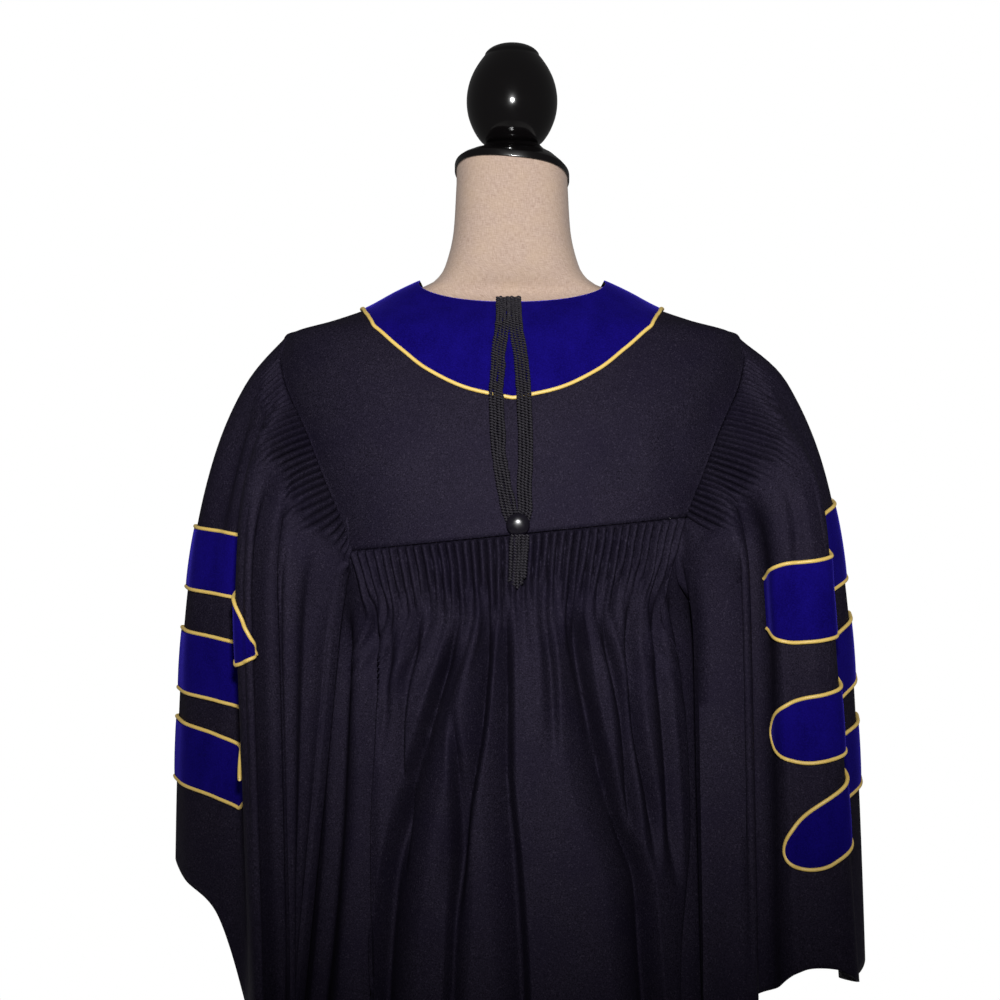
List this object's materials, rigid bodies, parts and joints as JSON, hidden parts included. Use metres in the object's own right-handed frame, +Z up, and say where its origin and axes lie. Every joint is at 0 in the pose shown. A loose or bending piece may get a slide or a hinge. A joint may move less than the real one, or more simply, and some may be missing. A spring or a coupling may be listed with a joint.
{
  "type": "doctoral graduation gown on a limbless dress form",
  "caption": "Black full-length academic gown with velvet collar, facings and sleeve bars edged in gold piping, gathered back and bell sleeves, hung on a limbless dress form with a round stand.",
  "frame": {"origin": "on the floor, at the middle of the base's underside, under the form's neck", "axes": "+Z up; the back of the gown faces -Y, its front +Y, and the wearer's right is +X"},
  "size_m": [0.7644, 0.4572, 1.7143],
  "materials": {
    "gown_cloth": "matte woven black cloth",
    "velvet": "royal blue velvet pile",
    "gold_piping": "gold satin-covered cord",
    "braid": "black gimp braid",
    "button": "glossy black",
    "linen_form": "natural linen over a moulded core",
    "turned_wood": "black gloss lacquer",
    "stand_metal": "black gloss paint"
  },
  "bodies": {
    "root": {"yoke": "gown_cloth", "collar": "velvet", "collar_piping": "gold_piping", "back_panel": "gown_cloth", "front_left": "gown_cloth", "front_right": "gown_cloth", "facing_left": "velvet", "facing_right": "velvet", "facing_piping_left": "gold_piping", "facing_piping_right": "gold_piping", "sleeve_left": "gown_cloth", "sleeve_right": "gown_cloth", "bar_left_1": "velvet", "bar_left_2": "velvet", "bar_left_3": "velvet", "bar_right_1": "velvet", "bar_right_2": "velvet", "bar_right_3": "velvet", "bar_piping_left_1": "gold_piping", "bar_piping_left_2": "gold_piping", "bar_piping_left_3": "gold_piping", "bar_piping_right_1": "gold_piping", "bar_piping_right_2": "gold_piping", "bar_piping_right_3": "gold_piping", "braid_left": "braid", "braid_right": "braid", "braid_tail": "braid", "button": "button", "torso": "linen_form", "neck_cap": "turned_wood", "finial": "turned_wood", "pole": "stand_metal", "base": "stand_metal"}
  },
  "joints": []
}
